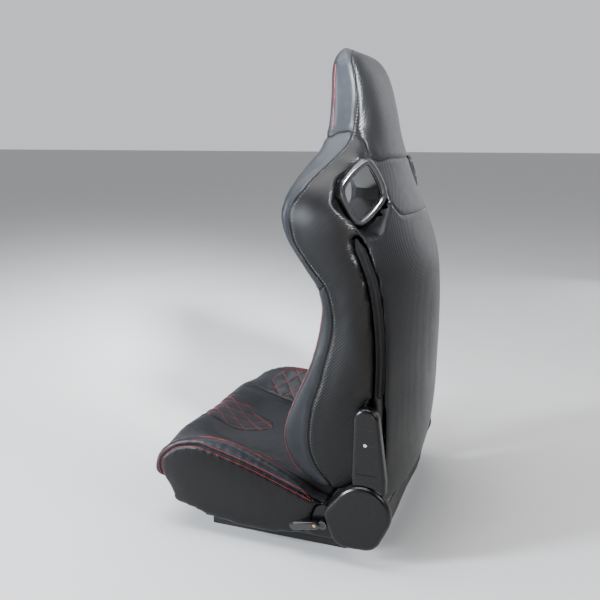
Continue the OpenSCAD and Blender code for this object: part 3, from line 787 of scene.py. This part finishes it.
# distance from each seam in mm; the side seam's is negative on the leather
side_seam = off_line(Y, Z, lambda t: curve(t, SEAM), 1)
sitter_side = ((no[:, 1] < 0.1) | (no[:, 0] * np.sign(p[:, 0]) < -0.1)) & (X < curve(Z, HALF) - 14)
sitter_side &= (Z < 790) & (Y < rear_y(X, Z, curve(Z, HALF)) - 25)
side_seam = np.where(sitter_side & (ring_depth < -20), -AWAY, side_seam)
neck_seam = off_line(Z, Y, lambda t: lin(t, NECK), 3)
rear_seam = off_line(Z, X, lambda t: lin(t, VSEAM), 3)
rear_seam = np.where((X > 152) | (Y < -25), np.where(Z > 660, AWAY, -AWAY), rear_seam)
waist_seam = (Z - (515 + 0.64 * (Y + 83))) / 1.19
waist_seam = np.where((side_seam > 0) | (X < 200), np.where(waist_seam > 0, AWAY, -AWAY), waist_seam)
hidden = under_rear(4)


def groove(d, depth, width):
    """A sewn channel with a slight swell on both sides, by distance d from its line."""
    d = np.abs(d)
    swell = np.exp(-((d - 2.6 * width) / (1.3 * width)) ** 2)
    return depth * (0.22 * swell - np.exp(-(d / width) ** 2))


push = groove(side_seam, 2.4, 3.6) + groove(neck_seam, 2.2, 3.4)
push += groove(rear_seam, 1.6, 3.2) + groove(waist_seam, 1.6, 3.0)


def on_both_sides(place, low, high, step):
    """A line of points place(side, z) on each side of the back."""
    return [metres([place(s, z) for z in np.arange(low, high, step)]) for s in (1, -1)]


# front: red seam down each lip, one on each side of the head, and one beside each bolster
red_lines = on_both_sides(lambda s, z: [s * (curve(z, HALF) - 9), curve(z, FRONT) + 2.0, z], 150, 508, 8)
red_lines += on_both_sides(lambda s, z: [s * (curve(z, HALF) - 0.5), -108, z], 786, 912, 6)
red_lines += on_both_sides(lambda s, z: [s * (curve(z, PADHALF) + 12), curve(z, PADLINE) - 4, z], 150, 700, 8)
push += groove(near(red_lines, co, 0.012) * 1000, 1.5, 2.8)
faces_front = no[:, 1] < -0.3
TX, TZ0, TZ1 = 88.0, 190.0, 520.0    # half width and ends of the quilted middle
TDU, TDV = 36, 58                    # width and length of its diamonds


def tongue(z):
    """Half width of the back's quilted middle, rounded at both ends."""
    t = unit((z - TZ0) / 26)
    b = unit((TZ1 - z) / 70)
    return TX * np.sqrt(1 - (1 - t) ** 2) * np.sqrt(unit(1 - (1 - b) ** 2.2))


def quilt(u, v, du, dv):
    """Distance to the nearest line of a diamond pattern du wide and dv long, in mm."""
    a, b = u / du + v / dv, u / du - v / dv
    k = 1 / math.hypot(1 / du, 1 / dv)
    return np.minimum(np.abs(a - np.round(a)), np.abs(b - np.round(b))) * k


def puff(d, width, height, base):
    """Rise of a quilted diamond by distance d from its lines."""
    return height * unit(d / width) ** 0.55 - base


inset = np.where(faces_front, tongue(Z) - X, -99)
area = unit(inset / 6) * (Z > TZ0) * (Z < TZ1)
push += area * puff(quilt(p[:, 0], Z - TZ0, TDU, TDV), 13, 2.6, 1.4)
rim = np.where((Z > TZ0 - 10) & (Z < TZ1 + 10) & faces_front, tongue(Z) - X, AWAY)
push += groove(rim, 1.3, 2.6)
# soft folds where the cover turns round the waist
soft = np.exp(-((Z - 505) / 60) ** 2) * np.exp(-((Y + 95) / 45) ** 2) * (X > 200)
push += 0.55 * soft * np.sin(Z / 6.5 + 0.06 * Y)
push = np.where(hidden, 0, push)
quiet = unit((np.abs(ring_d) - 10) / 8)
push = np.where((ring_depth > -118) & (ring_d < 20) & (Z > 600), push * quiet, push)
push = relax(push[:, None], e, 1)[:, 0]
co = clear_opening(co + no * (push / 1000)[:, None])
move(back.data, co)


def head_wrap(x, z):
    """Length of skin from the head's left edge round its rear to x, so that the ribs run on unbroken."""
    part = np.linspace(1, -1, 161)
    heights = np.linspace(736, 938, 40)
    table = []
    for h in heights:
        side = curve(h, HALF) * part
        rear = -curve(h, HEADCROWN) * np.abs(part) ** curve(h, HEADSIDES)
        table.append(np.r_[0, np.cumsum(np.hypot(np.diff(side), np.diff(rear)))])
    table = np.array(table)
    i = np.clip((z - heights[0]) / (heights[1] - heights[0]), 0, len(heights) - 1.001)
    j = np.clip((1 - np.clip(x / curve(z, HALF), -1, 1)) / (part[0] - part[1]), 0, len(part) - 1.001)
    i0, j0 = i.astype(int), j.astype(int)
    i1, j1 = np.minimum(i0 + 1, len(heights) - 1), np.minimum(j0 + 1, len(part) - 1)
    below = table[i0, j0] * (1 - j + j0) + table[i0, j1] * (j - j0)
    above = table[i1, j0] * (1 - j + j0) + table[i1, j1] * (j - j0)
    return below * (1 - i + i0) + above * (i - i0)


rear = (X < strip_x(Z) + 1.5) & (Y > strip_y(Z) - 10)
wrap = np.where(rear, 210 - p[:, 0] * 1.03, Y)
wrap = np.where(neck_seam > 0, head_wrap(p[:, 0], Z) - 62, wrap)
folds = [np.where(hidden, AWAY, side_seam), np.where(hidden, AWAY, neck_seam), rear_seam, waist_seam]
mark(back, side_seam, wrap / 1000, folds)
back.data.materials.append(MATERIAL["back"])
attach(back, "backrest")
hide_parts("back_centre_pad", "back_wing_left", "back_wing_right", "headrest_pad", "rear_panel",
            "shoulder_panel")
back_tree = tree_of(back)


def offset_seam(side, off, z0, z1, step=6):
    """Line beside the leather seam, off mm to its rear."""
    out = []
    for z in np.arange(z0, z1, step):
        s = slope(z, lambda t: curve(t, SEAM))
        k = math.hypot(1, s)
        zz, yy = z - off * s / k, curve(z, SEAM) + off / k
        out.append([side * curve(min(zz, 936), HALF), yy, zz])
    return metres(out)


black_lines = [offset_seam(s, 4.6, 150, 915) for s in (1, -1)]
stitches("seam_stitch_back", black_lines, back_tree, MATERIAL["black"], "backrest",
         pitch=0.0058, length=0.0038, radius=0.00058)
for s in (1, -1):
    heights = np.linspace(TZ0 + 1, TZ1 - 1, 60)
    red_lines.append(metres([[s * tongue(z), curve(z, PADLINE) - 2, z] for z in heights]))


def quilt_lines(inside, du, dv, v0, v1, place):
    """The lines of quilt(u, v, du, dv) where inside(u, v) holds, as points from place(u, v)."""
    out = []
    for sign in (1, -1):
        for k in range(-12, 13):
            v = np.arange(v0, v1, 1.5)
            u = (k - sign * v / dv) * du
            held = np.flatnonzero(inside(u, v))
            for run in np.split(held, np.flatnonzero(np.diff(held) > 1) + 1):
                if len(run) > 4:
                    out.append(metres([place(u[i], v[i]) for i in run[::3]]))
    return out


red_lines += quilt_lines(lambda u, v: np.abs(u) < tongue(v + TZ0) - 2, TDU, TDV, 0, TZ1 - TZ0,
                         lambda u, v: [u, curve(v + TZ0, PADLINE) - 2, v + TZ0])
stitches("red_stitch_back", red_lines, back_tree, MATERIAL["red"], "backrest",
         pitch=0.0044, length=0.0033)
# black thread just below the seam between the openings
rear_line = []
for x in np.linspace(-140, 140, 60):
    z = lin(abs(x), VSEAM)
    rear_line.append([x, rear_y(x, z, strip_x(z)), z - 2.4])
stitches("seam_stitch_rear", [metres(rear_line)], back_tree, MATERIAL["black"], "backrest")

# ---------------- bezel rims
def round_corners(shape, times=3):
    """Closed polygon with its corners cut round."""
    p = np.array(shape, float)
    for _ in range(times):
        q = np.roll(p, -1, 0)
        p = np.stack([p * 0.75 + q * 0.25, p * 0.25 + q * 0.75], 1).reshape(-1, 2)
    return p


RIM_POINTS = 14    # round the rim's section
for s, side in ((1, "left"), (-1, "right")):
    path = round_corners(octagon(46, 54, 10))
    along = np.roll(path, -1, 0) - np.roll(path, 1, 0)
    along /= np.linalg.norm(along, axis=1)[:, None]
    verts = []
    for (u, v), (du, dv) in zip(path, along):
        for a in np.linspace(0, 2 * math.pi, RIM_POINTS, endpoint=False):
            out = 6.4 * math.cos(a)
            verts.append(from_opening(s, u + dv * out, v - du * out, 5.4 + 4.8 * math.sin(a)))
    faces = quads(len(path), RIM_POINTS, True, True)
    piece = put("bezel_rim_" + side, metres(verts), faces if s > 0 else [f[::-1] for f in faces])
    dress(piece, MATERIAL["bezel"], "backrest")

# ---------------- cushion
def thick_skirt(s):
    """The side panel, thickened inwards and raised at the top so that it joins the cushion's skin."""
    v, f = cad("side_skirt_left" if s > 0 else "side_skirt_right")
    v = mm(v)
    x = np.abs(v[:, 0])
    v[:, 0] = s * np.where(x < 254, 246.5, x)
    v[:, 2] += np.where(v[:, 2] > 90, 6, 0)
    return metres(v), f


CUSHION = ["seat_centre_pad", "seat_bolster_left", "seat_bolster_right"]
seat = voxel("seat_cover", [cad(n) for n in CUSHION] + [thick_skirt(1), thick_skirt(-1)], 0.005)
co, e = points(seat.data), edges(seat.data)
co = relax(co, e, 5, 0.5)
move(seat.data, co)
p = mm(co)
X, Y, Z = np.abs(p[:, 0]), p[:, 1], p[:, 2]
pin = np.maximum.reduce([
    np.exp(-((Z - curve(Y, PIPE)) / 12) ** 2) * unit((X - 225) / 15),
    np.exp(-((X - 232) / 12) ** 2) * np.exp(-((Z - curve(Y, CREST)) / 14) ** 2),
    np.exp(-((X - 150) / 12) ** 2) * (Z > 120),
    (Z < 112) & (X < 246),
    unit((Y + 190) / 60),
    unit((70 - Z) / 20)])
pin = unit(relax(pin[:, None], e, 3)[:, 0])
if SIMULATE:
    inflate(seat, pin, 4, 0.006)
finer(seat)
co, no = points(seat.data), normals(seat.data)
p = mm(co)
X, Y, Z = np.abs(p[:, 0]), p[:, 1], p[:, 2]
top_side = no[:, 2] > 0.15
# side panel outline: the piping line and, at the front, the edge down to the hem
PANEL = [[-396, 70], [-405, 88], [-417, 107], [-423, 131], [-420, 148], [-409, 160], [-394, 173], [-375, 181],
         [-355, 184], [-336, 185], [-316, 181], [-273, 171], [-220, 156], [-167, 138], [-118, 120],
         [-93, 111], [-60, 98]]
poly = dense([[0, a, b] for a, b in PANEL], 1.0)[:, 1:]


def panel_distance(y, z):
    """Distance to the panel's outline in the side view, positive inside, in mm."""
    best = np.full(len(y), 1e9)
    sign = np.ones(len(y))
    for a, b in zip(poly[:-1:2], poly[2::2]):
        d = b - a
        t = unit(((y - a[0]) * d[0] + (z - a[1]) * d[1]) / (d @ d))
        qx, qy = y - a[0] - t * d[0], z - a[1] - t * d[1]
        r = np.hypot(qx, qy)
        c = d[0] * (z - a[1]) - d[1] * (y - a[0])
        closer = r < best
        best = np.where(closer, r, best)
        sign = np.where(closer, np.where(c < 0, 1, -1), sign)
    return best * sign


panel_edge = np.minimum(panel_distance(Y, Z), (X - 244) * 3)


def inseam_x(y):
    """The seam along the bolster's crest."""
    return curve(y, [[-440, 205], [-405, 214], [-380, 226], [-340, 234], [-260, 236], [-180, 226],
                     [-100, 214]])


SPLIT = 148.0    # the seam between the cushion's middle and a bolster
crest_seam = np.where(top_side, X - inseam_x(Y), AWAY)
split_seam = np.where(top_side & (Y > -432), X - SPLIT, AWAY)


def wedge(y):
    """Half width of the quilted middle of the cushion."""
    return curve(y, [[-446, 77], [-421, 74], [-391, 70], [-366, 62], [-330, 47], [-305, 32], [-292, 20],
                     [-285, 8], [-283, 0]])


WEDGE0, WEDGE1, DU, DV = -436, -283, 38.0, 56.0    # ends of the quilted middle, and its diamonds
SIDE0, SIDE1, BU, BV = -366.0, -205.0, 56.0, 42.0    # the same for a bolster
SLANT = 1.16    # length on a bolster's inner slope per mm of x
rim = np.where(top_side & (Y < -278), wedge(Y) - X, AWAY)
push = groove(panel_edge, 2.6, 3.4) + groove(crest_seam, 1.5, 2.8) + groove(split_seam, 1.6, 3.2)
push += groove(rim, 1.6, 2.6)
middle = unit((wedge(Y) - X) / 5) * top_side * (Y < WEDGE1) * (Y > WEDGE0)
push += middle * puff(quilt(p[:, 0], Y - WEDGE1, DU, DV), 11, 2.8, 1.5)
inner = unit((X - SPLIT - 2) / 5) * unit((inseam_x(Y) - X - 2) / 5) * top_side
inner *= unit((Y - SIDE0) / 5) * unit((SIDE1 - Y) / 5)
push += inner * puff(quilt((X - SPLIT) * SLANT, Y - SIDE0, BU, BV), 11, 2.8, 1.5)
# the side panels stand full, with small gathers along their piping
push += 5.5 * (1 - np.exp(-np.maximum(panel_edge, 0) / 13))
push += 0.35 * np.exp(-(panel_edge / 16) ** 2) * np.sin(Y / 3.1 + np.sin(Y / 17)) * (X > 225)
push = relax(push[:, None], edges(seat.data), 2)[:, 0]
move(seat.data, co + no * (push / 1000)[:, None])
mark(seat, panel_edge, -Y / 1000, (panel_edge, np.where(Y > WEDGE0, crest_seam, AWAY), split_seam, rim))
seat.data.materials.append(MATERIAL["seat"])
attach(seat, "seat_base")
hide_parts("seat_centre_pad", "seat_bolster_left", "seat_bolster_right", "side_skirt_left",
            "side_skirt_right")
seat_tree = tree_of(seat)


def drop(x, y, z0=260):
    """Point of the cushion straight below (x, y)."""
    h = seat_tree.ray_cast(Vector(metres([x, y, z0])), Vector((0, 0, -1)))
    return mm(h[0]) if h[0] is not None else np.array([x, y, 150.0])


def dropped(points_2d):
    """A line of stitches on the cushion over points (x, y)."""
    return metres([drop(x, y) for x, y in points_2d])


red = []
for s in (1, -1):
    for off, x in ((-5.0, 251), (5.0, 256)):    # beside the piping, on the bolster and on the side panel
        line = []
        for i in range(14, len(poly) - 40, 7):
            d = poly[i + 3] - poly[i - 3]
            d = d / np.linalg.norm(d)
            line.append([s * x, poly[i][0] + d[1] * off, poly[i][1] - d[0] * off])
        red.append(metres(line))
    for off, end in ((2.2, -110), (-2.2, SIDE1)):
        red.append(dropped([(s * (inseam_x(y) + off), y) for y in np.arange(-345, end, 6)]))
    red.append(dropped([(s * x, SIDE1 - 1) for x in np.arange(SPLIT + 6, inseam_x(SIDE1) - 2, 5)]))
    red += quilt_lines(lambda u, v: (u > 4) & (u < (inseam_x(v + SIDE0) - SPLIT) * SLANT - 3), BU, BV, 0,
                       SIDE1 - SIDE0, lambda u, v: drop(s * (u / SLANT + SPLIT), v + SIDE0))
    red += [dropped([(s * x, y) for x in np.arange(206, 240, 5)]) for y in (-432, -426)]
red += quilt_lines(lambda u, v: (np.abs(u) < wedge(v + WEDGE1) - 1) & (v < -1), DU, DV, WEDGE0 - WEDGE1, 0,
                   lambda u, v: drop(u, v + WEDGE1))
stitches("red_stitch_seat", red, seat_tree, MATERIAL["red"], "seat_base",
         length=0.0027, radius=0.00044)

# ---------------- rear flap
FLAP_WIDTH = 390                          # laid flat, in mm
HEM, FOOT = (29.5, 90.0), (16.5, 10.5)    # y and height of its edges at the rear panel and the rails
verts = []
for t in np.linspace(0, 1, 17):
    for x in np.linspace(-FLAP_WIDTH / 2, FLAP_WIDTH / 2, 49):
        wave = 1.6 * math.sin(math.pi * t) * math.cos(x / 23) + 1.2 * math.sin(x / 41)
        low = FOOT[1] + 6 * min(max((abs(x) - 166) / 12, 0), 1)    # notched over the lower rails
        verts.append([x, FOOT[0] + (HEM[0] - FOOT[0]) * t + wave, low + (HEM[1] - low) * t])
flap = put("rear_flap_cloth", metres(verts), quads(17, 49))
apply(flap, "SOLIDIFY", thickness=0.0016, offset=0)
flap.data.materials.append(MATERIAL["flap"])
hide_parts("rear_flap")
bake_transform(flap)

# ---------------- zips
ZIP0, ZIP1 = 318, 606    # heights of their ends
ROWS, COLUMNS = 60, 7    # of points on a tape
BOX = [[0, 1, 3, 2], [4, 6, 7, 5], [0, 4, 5, 1], [2, 3, 7, 6], [0, 2, 6, 4], [1, 5, 7, 3]]
BOX_CORNERS = [(a, b, h) for a in (-1.5, 1.5) for b in (-0.7, 0.7) for h in (-0.55, 0.55)]


def tape(s):
    """Points of a zip's tape, narrower at its ends."""
    verts = []
    for z in np.linspace(ZIP0, ZIP1, ROWS):
        a = np.array([strip_x(z) + 0.8, strip_y(z) - 3.6])
        b = np.array([curve(z, HALF) - 6.5, strip_y(z) - 17.5])
        width = min(1, 0.25 + (z - ZIP0) / 14, 0.12 + (ZIP1 - z) / 22)
        for t in np.linspace(0, 1, COLUMNS):
            sunk = 0.6 * (0.2 * math.sin(math.pi * t) - 0.6)
            x, y = a + (b - a) * (0.5 + (t - 0.5) * width) - sunk
            verts.append([s * x, y, z])
    return verts


def teeth(s):
    """Small boxes along the middle of the tape, by turns on its two sides."""
    verts, faces = [], []
    side, out = np.array([0.72, -0.69, 0]), np.array([0.69, 0.72, 0])
    for i, z in enumerate(np.arange(ZIP0 + 4, ZIP1 - 4, 1.5)):
        centre = np.array([(strip_x(z) + curve(z, HALF) - 6) / 2 + 0.6, strip_y(z) - 10.4, z])
        centre += side * (1.1 if i % 2 else -1.1) + out * 0.6
        faces += [[len(verts) + v for v in f] for f in BOX]
        for a, b, h in BOX_CORNERS:
            x, y, up = centre + side * a + out * b + np.array([0, 0, h])
            verts.append([s * x, y, up])
    return verts, faces


for s, name in ((1, "left"), (-1, "right")):
    faces = quads(ROWS, COLUMNS)
    strip = put("zip_tape_" + name, metres(tape(s)), faces if s > 0 else [f[::-1] for f in faces])
    apply(strip, "SOLIDIFY", thickness=0.0012, offset=0)
    dress(strip, MATERIAL["tape"], "backrest")
    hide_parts("zip_strip_" + name)
    verts, faces = teeth(s)
    row = put("zip_teeth_" + name, metres(verts), faces, rounded=False)
    dress(row, MATERIAL["teeth"], "backrest")

for o in frame["nodes"].values():
    if not o.hide_render:
        smooth(o.data)

# ---------------- studio
def area(name, place, target, size, power, colour=(1, 1, 1)):
    """A soft light at place, turned to target."""
    light = bpy.data.lights.new(name, "AREA")
    light.shape, light.size, light.size_y = "RECTANGLE", size[0], size[1]
    light.energy, light.color = power, colour
    o = bpy.data.objects.new(name, light)
    bpy.context.scene.collection.objects.link(o)
    o.location = place
    o.rotation_mode = "QUATERNION"
    o.rotation_quaternion = (Vector(target) - Vector(place)).to_track_quat("-Z", "Y")
    return o


area("top", (0.3, -0.5, 2.7), (0, 0, 0.5), (1.5, 1.9), 84)
area("front_left", (2.0, -2.3, 1.25), (0.1, 0, 0.85), (0.5, 1.1), 250, (0.86, 0.92, 1.0))
area("behind", (0.9, 2.8, 2.3), (0, 0.1, 0.8), (1.2, 1.4), 45, (0.95, 0.97, 1.0))
head = area("head", (1.35, 1.25, 1.75), (0.03, 0.05, 0.90), (0.35, 0.35), 16, (0.93, 0.96, 1.0))
head.data.spread = math.radians(30)
area("right_edge", (-2.6, 1.0, 1.1), (0, 0.2, 0.6), (0.9, 1.9), 8, (0.93, 0.96, 1.0))
area("low_warm", (2.2, 0.9, 0.10), (0.1, 0.0, 0.2), (1.6, 0.3), 12, (1.0, 0.74, 0.52))
world = bpy.data.worlds.new("studio")
bpy.context.scene.world = world
world.use_nodes = True
sky = world.node_tree.nodes
sky["Background"].inputs[0].default_value = (0.95, 0.96, 1.0, 1)
way = sky.new("ShaderNodeSeparateXYZ")
dim = sky.new("ShaderNodeMapRange")   # the sitter's left side of the room is kept dim
dim.interpolation_type = "SMOOTHSTEP"
for socket, value in zip(dim.inputs[1:5], (-0.55, 0.45, 0.80, 0.08)):
    socket.default_value = value
world.node_tree.links.new(sky.new("ShaderNodeTexCoord").outputs["Generated"], way.inputs[0])
world.node_tree.links.new(way.outputs["X"], dim.inputs[0])
world.node_tree.links.new(dim.outputs[0], sky["Background"].inputs[1])

floor = put("floor", [[-40, -40, 0], [40, -40, 0], [40, 40, 0], [-40, 40, 0]], [[0, 1, 2, 3]])
floor.location.z = -0.0005
g = Nodes("floor_paint")
floor.data.materials.append(g.done(g.mix(g.noise(3, 3), (0.66, 0.66, 0.655), (0.70, 0.70, 0.695)), 0.75))

lens = bpy.data.cameras.new("camera")
lens.sensor_width = 36
lens.lens = 43.816
camera = bpy.data.objects.new("camera", lens)
bpy.context.scene.collection.objects.link(camera)
place = (1.4385, 0.5003, 0.7726)
right, down, ahead = (-0.3473, 0.9378, 0.0), (0.2031, 0.0752, -0.9763), (-0.9155, -0.339, -0.2166)
camera.matrix_world = Matrix([[right[i], -down[i], -ahead[i], place[i]] for i in range(3)] + [[0, 0, 0, 1]])
bpy.context.scene.camera = camera
